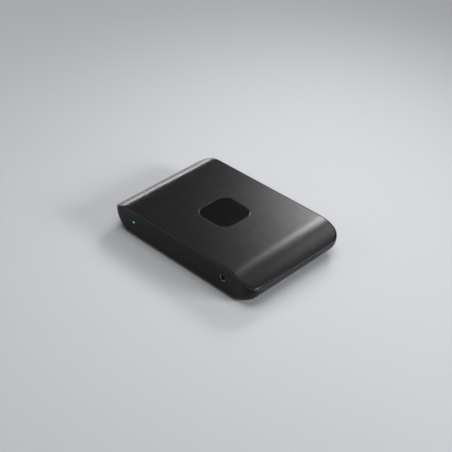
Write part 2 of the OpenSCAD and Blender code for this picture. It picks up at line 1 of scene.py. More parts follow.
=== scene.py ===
"""Looks of a video capture box: a closed black housing with sockets and an indicator light.

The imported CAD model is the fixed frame. Lengths are metres, the front faces -Y and the top +Z.
"""

import json
import math
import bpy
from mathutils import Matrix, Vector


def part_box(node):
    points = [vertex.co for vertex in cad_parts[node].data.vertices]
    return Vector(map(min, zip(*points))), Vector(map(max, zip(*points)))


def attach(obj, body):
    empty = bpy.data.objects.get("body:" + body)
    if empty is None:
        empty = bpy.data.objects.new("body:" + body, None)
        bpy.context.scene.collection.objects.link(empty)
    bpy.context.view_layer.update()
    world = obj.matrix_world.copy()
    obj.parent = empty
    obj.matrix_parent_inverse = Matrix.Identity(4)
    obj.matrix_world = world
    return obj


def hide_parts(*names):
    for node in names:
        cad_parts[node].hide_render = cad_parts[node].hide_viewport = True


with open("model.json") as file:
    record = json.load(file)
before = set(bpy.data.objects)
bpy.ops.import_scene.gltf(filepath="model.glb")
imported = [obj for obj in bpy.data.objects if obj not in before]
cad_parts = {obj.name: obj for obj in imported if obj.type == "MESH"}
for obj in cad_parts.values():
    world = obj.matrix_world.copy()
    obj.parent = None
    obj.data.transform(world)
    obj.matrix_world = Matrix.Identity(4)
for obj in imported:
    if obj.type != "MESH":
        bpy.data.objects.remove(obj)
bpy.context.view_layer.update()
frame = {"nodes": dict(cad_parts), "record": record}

from types import SimpleNamespace

import bpy
import numpy as np
from mathutils import Vector

bl_info = {
    "name": "Capture box",
    "version": (1, 0, 0),
    "blender": (4, 5, 0),
    "location": "3D View > Sidebar > Capture box",
    "description": "Builds the housing, sockets, finishes and studio of a video capture box",
    "category": "Object",
}

MM = 0.001
BODY = "root"

# Corners of a square about the origin, anticlockwise
CORNERS = np.array([[1, 1], [-1, 1], [-1, -1], [1, -1]])

# Points on the arcs and along the sides of outlines and profiles
CORNER_POINTS = 18
SIDE_POINTS = 96
CIRCLE_POINTS = 96
EDGE_POINTS = 6
HDMI_BEND_POINTS = 7
HDMI_SIDE_POINTS = 48
USB_END_POINTS = 20
USB_SIDE_POINTS = 12
LIP_POINTS = 7
SLEEVE_LIP_POINTS = 9
FLOOR_POINTS = 5
# Points of the mean that eases the shoulder
EASE_POINTS = 17

# Rings of the lofted skins
COVER_UNDER_RINGS = 20
COVER_TOP_RINGS = 64
TRAY_EDGE_RINGS = 10
TRAY_SIDE_RINGS = 16
TRAY_WALL_RINGS = 8
TRAY_INSIDE_RINGS = 12
DISH_RINGS = 10
HDMI_RINGS = 40
USB_RINGS = 16

# Angles below the crease at which the arcs of the tray's sides end
OUTSIDE_END = math.radians(2)
INSIDE_END = math.radians(8)
# Distance of the rings beside a rounded edge, as a share of its radius
EDGE_SUPPORT = 0.4
# Bevel of the light's opening, as a share of the other openings' bevel
LIGHT_BEVEL = 0.25
# Dish under a foot: its first ring, and its width as a share of the flat underside
DISH_START = 0.05
DISH_WIDTH = 0.8
# Radius of the USB-C mouth's ends as a share of half its height, just short of a half circle
USB_ROUND = 0.999
# Points nearer to each other than this become one after a cut
WELD_REACH = 0.001 * MM
# Edges that turn more than this stay sharp
SHARP_TURN = math.radians(35)

# Place of each lamp, then its width and depth
LAMPS = {
    "back": ((-0.13, 0.40, 0.33), (0.18, 0.13)),
    "fill": ((-0.28, 0.50, 0.33), (0.20, 0.14)),
    "flank": ((0.11, 0.42, 0.43), (0.26, 0.10)),
    "side": ((-0.76, 0.46, 0.05), (0.80, 0.05)),
    "right": ((0.72, 0.26, 0.30), (0.30, 0.20)),
    "front": ((-0.45, -0.50, 0.45), (0.25, 0.25)),
}
# Lamps without a beam
OPEN_LAMPS = ("front",)
# Camera's sensor in millimetres, and the nearest distance that it sees
SENSOR_WIDTH = 36.0
CLIP_START = 10 * MM


# Properties


def number(name, description, value, **options):
    """A number from 0 up that a user can change."""
    return bpy.props.FloatProperty(name=name, description=description, default=value, min=0.0, **options)


def length(name, description, millimetres):
    """A length, given in millimetres."""
    return number(name, description, millimetres * MM, unit="LENGTH", precision=5)


def degrees(name, description, value):
    """An angle, given in degrees."""
    return number(name, description, math.radians(value), subtype="ANGLE")


def share(name, description, value):
    """A number from 0 to 1."""
    return number(name, description, value, max=1.0, subtype="FACTOR")


def power(name, description, watts):
    """Power of a lamp."""
    return number(name, description, watts, unit="POWER")


def colour(name, description, value):
    """A linear colour that a user can change."""
    return bpy.props.FloatVectorProperty(
        name=name, description=description, default=value, size=3, min=0.0, max=1.0, subtype="COLOR"
    )


class CaseSizes(bpy.types.PropertyGroup):
    """Sizes of the moulded housing that the frame's boxes don't give."""

    corner_radius: length("Corner radius", "Corner of the body seen from above", 7)
    shoulder_run: length("Shoulder run", "From the edge of the flat top to the side", 14)
    shoulder_radius: length("Shoulder radius", "Where the flat top turns down", 12)
    shoulder_turn: degrees("Shoulder turn", "Angle of the shoulder's arc", 24)
    shoulder_ease: length("Shoulder ease", "Run on either side that evens out the cover's curve", 4)
    flank_radius: length("Flank radius", "Long arc below the shoulder", 50)
    cover_thickness: length("Cover thickness", "Thickness of the cover", 1.5)
    cover_edge: length("Cover edge", "Rounding along the cover's outer edge", 0.15)
    # Width of the band along the cover's edge that is painted lighter: wear and a faint painted
    # highlight
    cover_rub: length("Cover rub", "Width of the cover's rubbed edge", 0.35)
    wall: length("Wall", "Thickness of the tray's walls and floor", 2)
    bottom_edge: length("Bottom edge", "Radius of the front and back bottom edges", 1.6)
    rim: length("Rim", "Width of the tray's rim round the cover", 0.3)
    rim_drop: length("Rim drop", "How far the rim lies below the cover's surface", 0.1)
    rim_edge: length("Rim edge", "Rounding of the rim's two edges", 0.1)
    # Band along the rim that is painted lighter, mostly a painted highlight standing in for the light
    # line along the rim
    rim_rub: length("Rim rub", "Width of the rim's rubbed edge", 0.8)
    rub_depth: length("Rub depth", "How far down the rim is rubbed", 0.6)
    seat_gap: length("Seat gap", "Room between the cover and its ledge", 0.05)
    bar_height: length("Bar height", "How far the two bars stand below the cover", 2)
    bar_width: length("Bar width", "Thickness of the bars that keep the cover between the walls", 1)
    bar_gap: length("Bar gap", "Room between a bar and the wall", 0.15)
    mouth_bevel: length("Mouth bevel", "Bevel round the openings in the walls", 0.25)
    inlay_radius: length("Inlay radius", "Corner radius of the inlay", 6)
    inlay_gap: length("Inlay gap", "Room round the inlay in its recess", 0.1)
    inlay_edge: length("Inlay edge", "Rounding of the inlay and of its recess", 0.22)


class FittingSizes(bpy.types.PropertyGroup):
    """Sizes of the sockets, the jack, the light, the feet and the screws."""

    sheet: length("Sheet", "Sheet thickness of the socket shells", 0.3)
    port_gap: length("Port gap", "Room round a socket in the back wall", 0.25)
    bend: length("Bend", "Inner corner radius of a folded shell", 0.3)
    hdmi_foot: length("HDMI foot", "Inside width of the narrow lower edge", 10.2)
    hdmi_side: length("HDMI side", "Height of the upright sides", 2.3)
    tab_press: length("Tab press", "How far the springs stand into an HDMI shell", 0.3)
    tab_place: length("Tab place", "From the middle of the shell to the middle of a spring", 3.4)
    tab_width: length("Tab width", "Width of a spring", 2.6)
    tab_slope: length("Tab slope", "Width of a spring's sloping side", 0.4)
    tab_middle: length("Tab middle", "From the mouth to the middle of a spring", 3.2)
    tab_length: length("Tab length", "Length of a spring", 4.8)
    jack_hole: length("Jack hole", "Diameter of the hole for the audio plug", 4.2)
    nose_gap: length("Nose gap", "Room round the jack's nose in its hole", 0.05)
    nose_sink: length("Nose sink", "How far the jack's nose lies behind the front", 0.35)
    light_gap: length("Light gap", "Room round the light pipe", 0.08)
    light_width: length("Light width", "Diameter of the light pipe", 1.5)
    foot_width: length("Foot width", "Diameter of a rubber foot", 8)
    foot_gap: length("Foot gap", "Room round a foot in its recess", 0.1)
    foot_edge: length("Foot edge", "Rounding of a foot's lower edge", 0.4)
    foot_dish: length("Foot dish", "Depth of the hollow under a foot", 0.12)
    post_width: length("Post width", "Diameter of the posts that the case screws run through", 5.4)
    screw_width: length("Screw width", "Diameter of a case screw", 2)
    head_width: length("Head width", "Diameter of a case screw's head", 3.6)
    head_height: length("Head height", "Height of a case screw's head", 1.4)
    hole_gap: length("Hole gap", "Room round a screw's shank and head", 0.15)
    thread_gap: length("Thread gap", "Room round a screw's thread", 0.03)
    end_gap: length("End gap", "Room at a screw's tip", 0.1)


class Finishes(bpy.types.PropertyGroup):
    """Colours and gloss of the finishes."""

    cover: colour("Cover", "Satin plastic of the cover", (0.0048, 0.0049, 0.0053))
    tray: colour("Tray", "Satin plastic of the tray", (0.0044, 0.0045, 0.0049))
    inlay: colour("Inlay", "Gloss plastic of the inlay", (0.0040, 0.0040, 0.0044))
    rubber: colour("Rubber", "Rubber of the feet", (0.0180, 0.0180, 0.0185))
    dust: colour("Dust", "Dust on the inlay", (0.05, 0.05, 0.05))
    steel: colour("Steel", "Steel of the socket shells", (0.66, 0.65, 0.63))
    screws: colour("Screws", "Steel of the screws", (0.56, 0.57, 0.60))
    tin: colour("Tin", "Tin plate of the shield", (0.66, 0.67, 0.69))
    brass: colour("Brass", "Brass of the standoffs", (0.72, 0.52, 0.22))
    gold: colour("Gold", "Gold of the contacts", (0.86, 0.62, 0.24))
    aluminium: colour("Aluminium", "Aluminium of the heat sink", (0.60, 0.62, 0.64))
    chips: colour("Chips", "Resin of the chips", (0.022, 0.022, 0.024))
    sockets: colour("Sockets", "Plastic inside the sockets", (0.012, 0.012, 0.013))
    ferrite: colour("Ferrite", "Ferrite of the coils", (0.075, 0.078, 0.085))
    ceramic: colour("Ceramic", "Ceramic of the capacitors", (0.42, 0.30, 0.17))
    silicone: colour("Silicone", "Silicone of the thermal pad", (0.23, 0.28, 0.34))
    mask: colour("Mask", "Board between its tracks", (0.006, 0.060, 0.028))
    tracks: colour("Tracks", "Board over its tracks", (0.012, 0.095, 0.046))
    vias: colour("Vias", "Bare gold on the board", (0.62, 0.44, 0.16))
    satin: share("Satin", "Roughness of the housing's plastic", 0.27)
    light: colour("Light", "Glow of the indicator", (0.06, 0.80, 0.62))
    light_power: number("Light power", "Strength of the indicator's glow", 1.6)
    light_core: length("Light core", "Radius of the glow's brightest part", 0.2)
    light_fade: length("Light fade", "Radius at which the glow has faded", 0.62)


class Studio(bpy.types.PropertyGroup):
    """Camera, floor and lamps."""

    azimuth: degrees("Azimuth", "Camera's turn to the right", 45.12)
    elevation: degrees("Elevation", "Camera above the floor", 35.96)
    distance: length("Distance", "Camera from the middle of the box", 627.93)
    aim_height: length("Aim height", "Height that the camera looks at", 9)
    lens: bpy.props.FloatProperty(
        name="Lens", description="Focal length", default=88.19, unit="CAMERA", subtype="DISTANCE_CAMERA"
    )
    shift: bpy.props.FloatVectorProperty(
        name="Shift",
        description="Offset of the frame, in frame widths",
        size=2,
        default=(0.0027, -0.0022),
    )
    floor: colour("Floor", "Pale floor", (0.54, 0.55, 0.57))
    floor_reach: length("Floor reach", "From the middle of the floor to its edge", 6000)
    horizon: colour("Horizon", "Room behind the floor", (0.36, 0.365, 0.375))
    overhead: colour("Overhead", "Room above", (0.045, 0.0455, 0.047))
    beam: degrees("Beam", "Beam of the lamps that have one", 60)
    top_light: number("Top light", "Even soft light from above, in watts a square metre", 1.5)
    top_angle: degrees("Top angle", "Width of the light from above", 40)
    back_power: power("Back lamp", "Soft lamp behind and above, seen in the right shoulder", 0.115)
    fill_power: power("Fill lamp", "Weaker lamp beside it, seen in the flat top", 0.042)
    flank_power: power("Flank lamp", "Wide weak lamp behind, seen in the right flank", 0.022)
    side_power: power("Side lamp", "Long low lamp at the left, seen in the left shoulder", 0.15)
    right_power: power("Right lamp", "Lamp at the right, for the floor that the side shows", 0.66)
    front_power: power("Front lamp", "Square lamp at the front left, seen along the rim", 0.6)


# Outlines and skins


def unit(vectors):
    """Vectors of length one."""
    return vectors / np.linalg.norm(vectors, axis=-1, keepdims=True)


def rounded(corners, radius, arc, run=0):
    """Closed anticlockwise outline of a convex polygon with round corners.

    Each corner is an arc whose centre lies on the corner's bisector, where the circle touches both
    sides. Straight runs between the arcs take equally spaced points.
    """
    corners = np.asarray(corners, float)
    before = unit(np.roll(corners, 1, 0) - corners)
    after = unit(np.roll(corners, -1, 0) - corners)
    half = np.arccos(np.clip((before * after).sum(1), -1, 1)) / 2
    centre = corners + unit(before + after) * (radius / np.sin(half))[:, None]
    start = corners + before * (radius / np.tan(half))[:, None] - centre
    sweep = np.linspace(0, 1, arc) * (math.pi - 2 * half)[:, None]
    angle = np.arctan2(start[:, 1], start[:, 0])[:, None] + sweep
    arcs = centre[:, None] + radius * np.stack([np.cos(angle), np.sin(angle)], -1)
    t = np.linspace(0, 1, run + 2)[1:-1, None]
    runs = arcs[:, -1:] * (1 - t) + np.roll(arcs, -1, 0)[:, :1] * t
    return np.concatenate([arcs, runs], 1).reshape(-1, 2)


def box_outline(half_w, half_d, radius):
    """Rounded rectangle about the origin, with equally many points at any size."""
    return rounded(CORNERS * (half_w, half_d), radius, CORNER_POINTS, SIDE_POINTS)


def circle(radius):
    """Circle about the origin: cosine and sine of equal steps of angle."""
    angle = np.arange(CIRCLE_POINTS) * 2 * math.pi / CIRCLE_POINTS
    return radius * np.column_stack([np.cos(angle), np.sin(angle)])


def level(plan, height):
    """Flat ring: an outline at one height, or at a height for each of its points."""
    return np.column_stack([plan, np.broadcast_to(height, len(plan))])


def round_edge(radius):
    """Inset and fall of a quarter round from a flat face to an upright one.

    The inset is radius * (1 - sine) and the fall radius * (1 - cosine) of the angle turned. A ring on
    either side of the arc keeps the neighbouring faces flat.
    """
    angle = np.linspace(0, math.pi / 2, EDGE_POINTS)
    support = EDGE_SUPPORT * radius
    inset = np.concatenate([[radius + support], radius * (1 - np.sin(angle)), [0]])
    fall = np.concatenate([[0], radius * (1 - np.cos(angle)), [radius + support]])
    return inset, fall


def loft(rings, joined=False):
    """Skin through closed rings of equally many points, with flat caps or with its ends joined.

    Returns the points and the faces as index arrays. Rings that run anticlockwise and rise have faces
    that look outwards.
    """
    rings = np.asarray(rings)
    count, n = rings.shape[:2]
    k = np.arange(count if joined else count - 1)[:, None]
    i = np.arange(n)
    here = k * n
    there = (k + 1) % count * n
    after = (i + 1) % n
    corners = np.broadcast_arrays(here + i, here + after, there + after, there + i)
    faces = [np.stack(corners, -1).reshape(-1, 4)]
    if not joined:
        faces += [i[None, ::-1], (count - 1) * n + i[None]]
    return rings.reshape(-1, 3), faces


def rods(places, radii, heights):
    """Upright turned shapes at several places, through a circle of each radius at its height."""
    points, faces = loft([level(circle(r), z) for r, z in zip(radii, heights)])
    return [(points + (x, y, 0), faces) for x, y in places]


def facing_back(points, x, y, z):
    """Places a shape whose third axis runs inwards from the back: across stays X, up becomes Z."""
    return np.stack([x + points[..., 0], y - points[..., 2], z + points[..., 1]], -1)


def facing_front(points, x, y, z):
    """Places a shape whose third axis runs inwards from the front: across becomes -X, up becomes Z."""
    return np.stack([x - points[..., 0], y + points[..., 2], z + points[..., 1]], -1)


def mesh_object(name, skins):
    """Object at the origin made of closed skins, shaded smooth."""
    starts = np.cumsum([0] + [len(points) for points, _ in skins])
    points = np.concatenate([points for points, _ in skins])
    faces = [
        corners
        for (_, groups), start in zip(skins, starts)
        for group in groups
        for corners in (group + start).tolist()
    ]
    mesh = bpy.data.meshes.new(name)
    mesh.from_pydata(points.tolist(), [], faces)
    smooth(mesh)
    obj = bpy.data.objects.new(name, mesh)
    bpy.context.scene.collection.objects.link(obj)
    return obj


def smooth(mesh):
    """Smooth shading, with the edges that turn more than SHARP_TURN kept sharp."""
    mesh.polygons.foreach_set("use_smooth", np.ones(len(mesh.polygons), bool))
    mesh.set_sharp_from_angle(angle=SHARP_TURN)
    mesh.update()


def combine(obj, skins, operation, twisted=False):
    """Joins closed skins to an object (UNION) or takes them away from it (DIFFERENCE).

    Twisted faces are split into triangles first, because they have no exact cut. Points that come to
    lie within WELD_REACH of each other become one.
    """
    tool = mesh_object(obj.name + "_tool", skins)
    if twisted:
        obj.modifiers.new("triangles", "TRIANGULATE")
    step = obj.modifiers.new("combine", "BOOLEAN")
    step.operation = operation
    step.solver = "EXACT"
    step.object = tool
    weld = obj.modifiers.new("weld", "WELD")
    weld.merge_threshold = WELD_REACH
    shape = obj.evaluated_get(bpy.context.evaluated_depsgraph_get())
    mesh = bpy.data.meshes.new_from_object(shape)
    obj.modifiers.clear()
    obj.data = mesh
    bpy.data.objects.remove(tool)
    smooth(mesh)


def coordinates(obj):
    """All points of an object's mesh as one array."""
    flat = np.empty(len(obj.data.vertices) * 3, np.float32)
    obj.data.vertices.foreach_get("co", flat)
    return flat.reshape(-1, 3)


def mark(obj, name, values):
    """Stores one number for each point of an object."""
    attribute = obj.data.attributes.new(name, "FLOAT", "POINT")
    attribute.data.foreach_set("value", values.astype(np.float32))


def adopt(obj, slot, *nodes):
    """The object rides on the body, stands for CAD nodes and wears the finish of a material slot."""
    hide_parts(*nodes)
    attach(obj, BODY)
    obj.data.materials.clear()
    obj.data.materials.append(finish(slot))


# Housing


def housing(case):
    """Sizes of the housing worked out from the frame's boxes and the driving sizes."""
    tray_low, tray_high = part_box("base_tray")
    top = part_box("top_cover")[1].z
    flat = tray_high.x - case.shoulder_run
    shoulder_z = top - case.shoulder_radius
    reach = case.shoulder_radius - case.flank_radius
    flank_x = flat + reach * math.sin(case.shoulder_turn)
    flank_z = shoulder_z + reach * math.cos(case.shoulder_turn)
    crease = flank_z + math.sqrt(case.flank_radius**2 - (tray_high.x - flank_x) ** 2)
    bilge = crease - tray_low.z
    return SimpleNamespace(
        half_w=tray_high.x, half_d=tray_high.y, top=top, floor=tray_low.z,
        flat=flat, shoulder_z=shoulder_z, flank_x=flank_x, flank_z=flank_z,
        bilge=bilge, bilge_x=tray_high.x - bilge,
    )


def arch(x, case, body, drop=0.0):
    """Height of the cover's surface at x, moved inwards by drop.

    The surface is flat, then follows the circle of the shoulder, then the larger circle of the flank,
    which continues it without a break. The mean over a short run on either side eases the shoulder
    into the flat.
    """
    x = np.abs(x)[..., None] + case.shoulder_ease * np.linspace(-1, 1, EASE_POINTS)
    shoulder_r = case.shoulder_radius - drop
    shoulder = body.shoulder_z + np.sqrt(np.maximum(shoulder_r**2 - (x - body.flat) ** 2, 0))
    flank = body.flank_z + np.sqrt((case.flank_radius - drop) ** 2 - (x - body.flank_x) ** 2)
    turn = body.flat + shoulder_r * math.sin(case.shoulder_turn)
    flat = np.full_like(x, body.top - drop)
    return np.select([x < body.flat, x < turn], [flat, shoulder], flank).mean(-1)


def drape(plans, case, body, drop=0.0, fall=0.0):
    """Outlines laid on the cover's surface, moved inwards by drop and then straight down by fall."""
    plans = np.asarray(plans)
    heights = arch(plans[..., 0], case, body, drop) - np.reshape(fall, (-1, 1))
    return np.concatenate([plans, heights[..., None]], -1)


def edge_mask(points, half_w, half_d, radius, reach):
    """1 on the outline of a rounded rectangle seen from above, falling to 0 at reach inside it.

    The distance inside is the corner's radius less the length beyond the corner's centre.
    """
    beyond = np.maximum(np.abs(points[:, :2]) - (half_w - radius, half_d - radius), 0)
    inside = radius - np.linalg.norm(beyond, axis=1)
    return np.clip(1 - inside / reach, 0, 1)


def cover_posts(fittings, top):
    """Posts under the cover that the case screws hold, down to the board."""
    radius = fittings.post_width / 2
    heights = [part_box("main_board")[1].z, top]
    return rods(foot_places(fittings), [radius, radius], heights)


def cover_bars(case, body, top):
    """Two bars under the flat top that keep the cover between the front and back walls."""
    corners = CORNERS * (body.flat, case.bar_width / 2)
    low = body.top - case.cover_thickness - case.bar_height
    points, faces = loft([level(corners, low), level(corners, top)])
    y = body.half_d - case.wall - case.bar_gap - case.bar_width / 2
    return [(points + (0, side * y, 0), faces) for side in (-1, 1)]


def screw_pilots(fittings):
    """Cutters for the screws' holes in the cover's posts."""
    radius = fittings.screw_width / 2 + fittings.thread_gap
    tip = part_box("case_screws")[1].z + fittings.end_gap
    return rods(foot_places(fittings), [radius, radius], [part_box("main_board")[0].z, tip])


def make_cover(case, fittings):
    """Arched cover: underside from the middle outwards, edge, top and the recess for the inlay.

    The posts and bars below it reach up to the middle of its thickness.
    """
    body = housing(case)
    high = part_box("top_cover")[1]
    corner = case.corner_radius - (body.half_w - high.x)
    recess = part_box("top_inlay")[1].x + case.inlay_gap
    recess_r = case.inlay_radius + case.inlay_gap

    def plan(inset):
        """The cover's outline, drawn in."""
        return box_outline(high.x - inset, high.y - inset, corner - inset)

    def recess_plan(grow):
        """The recess's outline, widened."""
        return box_outline(recess + grow, recess + grow, recess_r + grow)

    inset, fall = round_edge(case.cover_edge)
    grow, dip = round_edge(case.inlay_edge)
    under_plans = np.linspace(recess_plan(0), plan(0), COVER_UNDER_RINGS)
    top_plans = np.linspace(plan(inset[0]), recess_plan(grow[0]), COVER_TOP_RINGS)[1:-1]
    under = drape(under_plans, case, body, case.cover_thickness)
    edge = drape([plan(i) for i in inset[::-1]], case, body, fall=fall[::-1])
    top = drape(top_plans, case, body)
    rim = drape([recess_plan(g) for g in grow], case, body, fall=dip)
    base = level(recess_plan(0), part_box("top_inlay")[0].z)
    obj = mesh_object("cover_shell", [loft(np.concatenate([under, edge, top, rim, base[None]]))])
    middle = body.top - case.cover_thickness / 2
    fixings = cover_posts(fittings, middle) + cover_bars(case, body, middle)
    combine(obj, fixings, "UNION", twisted=True)
    combine(obj, screw_pilots(fittings), "DIFFERENCE")
    # The cover's edge band is marked for painting lighter: wear and a faint painted highlight
    mark(obj, "edge", edge_mask(coordinates(obj), high.x, high.y, corner, case.cover_rub))
    adopt(obj, "cover_plastic", "top_cover")


def make_inlay(case):
    """Gloss plate with round corners and a softened upper edge."""
    low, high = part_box("top_inlay")
    inset, fall = round_edge(case.inlay_edge)

    def plan(shrink):
        """The inlay's outline, drawn in."""
        return box_outline(high.x - shrink, high.y - shrink, case.inlay_radius - shrink)

    edge = [level(plan(i), high.z - f) for i, f in zip(inset[::-1], fall[::-1])]
    obj = mesh_object("inlay_plate", [loft([level(plan(0), low.z), *edge])])
    adopt(obj, "gloss_inlay", "top_inlay")


def tray_outside(case, body):
    """Rings of the tray's outside from its floor to below the rim.

    At a rise above the floor the sides stand out by the bilge's quarter circle, and the front and back
    draw in by the quarter circle of the bottom edge.
    """
    edge = case.bottom_edge
    low_rise = edge * (1 - np.cos(np.linspace(0, math.pi / 2, TRAY_EDGE_RINGS)))
    start = math.asin(1 - edge / body.bilge)
    side_rise = body.bilge * (1 - np.sin(np.linspace(start, OUTSIDE_END, TRAY_SIDE_RINGS)))[1:]
    rises = np.concatenate([low_rise, side_rise])
    out = np.sqrt(body.bilge**2 - (body.bilge - rises) ** 2)
    draw = edge - np.sqrt(edge**2 - np.maximum(edge - rises, 0) ** 2)
    return np.stack([
        level(box_outline(body.bilge_x + o, body.half_d - d, case.corner_radius), body.floor + rise)
        for o, d, rise in zip(out, draw, rises)
    ])


def tray_inside(case, body):
    """Rings of the tray's inside, from below the ledge down to the floor, parallel to the outside."""
    radius = body.bilge - case.wall
    half_d = body.half_d - case.wall
    corner = case.corner_radius - case.wall
    angles = np.linspace(INSIDE_END, math.pi / 2, TRAY_INSIDE_RINGS)
    half_widths = body.bilge_x + radius * np.cos(angles)
    heights = body.floor + case.wall + radius * (1 - np.sin(angles))
    return np.stack([
        level(box_outline(half_w, half_d, corner), z) for half_w, z in zip(half_widths, heights)
    ])


def make_tray(case, fittings):
    """Round-sided tray: outside, rim, ledge under the cover, inside and posts, less its openings."""
    body = housing(case)

    def plan(inset):
        """The tray's outline at the rim, drawn in."""
        return box_outline(body.half_w - inset, body.half_d - inset, case.corner_radius - inset)

    outside = tray_outside(case, body)
    inset, fall = round_edge(case.rim_edge)
    outer_rim = drape([plan(i) for i in inset[::-1]], case, body, fall=case.rim_drop + fall[::-1])
    inner_rim = drape([plan(case.rim - i) for i in inset], case, body, fall=case.rim_drop + fall)
    wall = np.linspace(outside[-1], outer_rim[0], TRAY_WALL_RINGS)[1:-1]
    seat = case.cover_thickness + case.seat_gap
    ledge = drape([plan(case.rim), plan(case.wall)], case, body, seat)
    rings = [outside, wall, outer_rim, inner_rim, ledge, tray_inside(case, body)]
    obj = mesh_object("tray_shell", [loft(np.concatenate(rings))])
    combine(obj, tray_posts(case, fittings, body), "UNION")
    combine(obj, wall_openings(case, fittings, body) + foot_holes(case, fittings), "DIFFERENCE")
    # The band along the rim and the top of the walls is marked for painting lighter: a painted highlight
    # along the rim, with some wear
    points = coordinates(obj)
    high = points[:, 2] > arch(points[:, 0], case, body) - case.rub_depth
    edge = edge_mask(points, body.half_w, body.half_d, case.corner_radius, case.rim_rub)
    mark(obj, "edge", high * edge)
    adopt(obj, "tray_plastic", "base_tray")


def opening(outline, case, place, x, y, z):
    """Cutter through a wall: an outline that widens by the bevel towards the outside."""
    over = case.wall / 2
    depths = np.array([-over, case.mouth_bevel, case.wall + over])
    rings = [level(outline(max(case.mouth_bevel - depth, 0)), depth) for depth in depths]
    points, faces = loft(rings)
    return place(points, x, y, z), faces


def wall_openings(case, fittings, body):
    """Cutters for the three sockets at the back, and for the jack and the light at the front."""
    grow = fittings.sheet + fittings.port_gap
    hdmi = [
        opening(lambda g: hdmi_outline(fittings, grow + g), case, facing_back, x, body.half_d, z)
        for x, _, z in (hdmi_place(fittings, node) for node in ("hdmi_in_shell", "hdmi_out_shell"))
    ]
    x, _, z = usb_place()
    usb = opening(lambda g: usb_outline(fittings, grow + g), case, facing_back, x, body.half_d, z)
    x, _, z = jack_place()
    jack_r = fittings.jack_hole / 2
    jack = opening(lambda g: circle(jack_r + g), case, facing_front, x, -body.half_d, z)
    x, z = light_place()
    light_r = fittings.light_width / 2 + fittings.light_gap
    light = opening(
        lambda g: circle(light_r + LIGHT_BEVEL * g), case, facing_front, x, -body.half_d, z
    )
    return [*hdmi, usb, jack, light]


def foot_places(fittings):
    """Middles of the four feet, which the screws and posts stand over."""
    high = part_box("rubber_feet")[1]
    x = high.x - fittings.foot_width / 2
    y = high.y - fittings.foot_width / 2
    return [(side * x, end * y) for side in (-1, 1) for end in (-1, 1)]


def tray_posts(case, fittings, body):
    """Posts on the tray's floor that carry the board."""
    radius = fittings.post_width / 2
    heights = [body.floor + case.wall / 2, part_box("main_board")[0].z]
    return rods(foot_places(fittings), [radius, radius], heights)


def foot_holes(case, fittings):
    """Cutters for the recesses of the feet and, above each, the room for a screw's head and shank."""
    low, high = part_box("rubber_feet")
    foot = fittings.foot_width / 2 + fittings.foot_gap
    head = fittings.head_width / 2 + fittings.hole_gap
    shank = fittings.screw_width / 2 + fittings.hole_gap
    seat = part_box("case_screws")[0].z + fittings.head_height
    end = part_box("main_board")[1].z
    radii = [foot, foot, head, head, shank, shank]
    heights = [low.z - case.wall, high.z, high.z, seat, seat, end]
    return rods(foot_places(fittings), radii, heights)


def make_feet(fittings):
    """Round rubber feet: a shallow dish, a flat contact ring, a rounded edge and upright sides.

    The dish is deepest on the axis and falls off as the squared cosine of the way out.
    """
    low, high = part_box("rubber_feet")
    radius = fittings.foot_width / 2
    inset, fall = round_edge(fittings.foot_edge)
    t = np.linspace(DISH_START, 1, DISH_RINGS)
    dish_r = t * DISH_WIDTH * (radius - inset[0])
    dish_z = low.z + fittings.foot_dish * np.cos(t * math.pi / 2) ** 2
    radii = np.concatenate([dish_r, radius - inset, [radius]])
    heights = np.concatenate([dish_z, low.z + fall, [high.z]])
    obj = mesh_object("feet_set", rods(foot_places(fittings), radii, heights))
    adopt(obj, "foot_rubber", "rubber_feet")


# Sockets, jack and light


def hdmi_place(fittings, node):
    """Middle, mouth and inner floor of an HDMI shell, from the frame."""
    low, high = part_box(node)
    return (low.x + high.x) / 2, high.y, low.z + fittings.sheet


def usb_place():
    """Middle of the USB-C mouth, from the frame."""
    low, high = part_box("usb_c_shell")
    return (low.x + high.x) / 2, high.y, (low.z + high.z) / 2


def jack_place():
    """Axis and mouth of the jack's sleeve, from the frame."""
    low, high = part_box("audio_jack_sleeve")
    return (low.x + high.x) / 2, low.y, (low.z + high.z) / 2


def light_place():
    """Axis of the light pipe: its box is as wide as the stop, which tops it."""
    low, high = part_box("light_pipe")
    return (low.x + high.x) / 2, high.z - (high.x - low.x) / 2


def hdmi_outline(fittings, grow, run=0):
    """HDMI mouth, grown all round: a rectangle with slanted lower corners, its inner floor at zero."""
    low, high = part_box("hdmi_in_shell")
    half = (high.x - low.x) / 2 - fittings.sheet
    tall = high.z - low.z - 2 * fittings.sheet
    foot = fittings.hdmi_foot / 2
    slant = math.atan2(tall - fittings.hdmi_side, half - foot)
    foot += grow * math.tan(slant / 2)
    knee = tall - fittings.hdmi_side - grow * math.tan((math.pi / 2 - slant) / 2)
    side = half + grow
    roof = tall + grow
    corners = [(side, roof), (-side, roof), (-side, knee), (-foot, -grow), (foot, -grow), (side, knee)]
    return rounded(corners, fittings.bend + grow, HDMI_BEND_POINTS, run)


def usb_outline(fittings, grow):
    """USB-C mouth: a slot with round ends, grown all round."""
    low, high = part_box("usb_c_shell")
    half_w = (high.x - low.x) / 2 - fittings.sheet + grow
    half_h = (high.z - low.z) / 2 - fittings.sheet + grow
    corners = CORNERS * (half_w, half_h)
    return rounded(corners, half_h * USB_ROUND, USB_END_POINTS, USB_SIDE_POINTS)


def folded_shell(outline, sheet, depth, steps):
    """Rings of a sheet metal shell: outside to the back, inside to the front and a half-round lip."""
    half = sheet / 2
    turn = np.linspace(0, math.pi, LIP_POINTS)[1:-1]
    outside = np.linspace(half, depth, steps)
    rings = [level(outline(sheet), z) for z in outside]
    rings += [level(outline(0), z) for z in outside[::-1]]
    rings += [level(outline(half * (1 - math.cos(a))), half * (1 - math.sin(a))) for a in turn]
    return np.stack(rings)


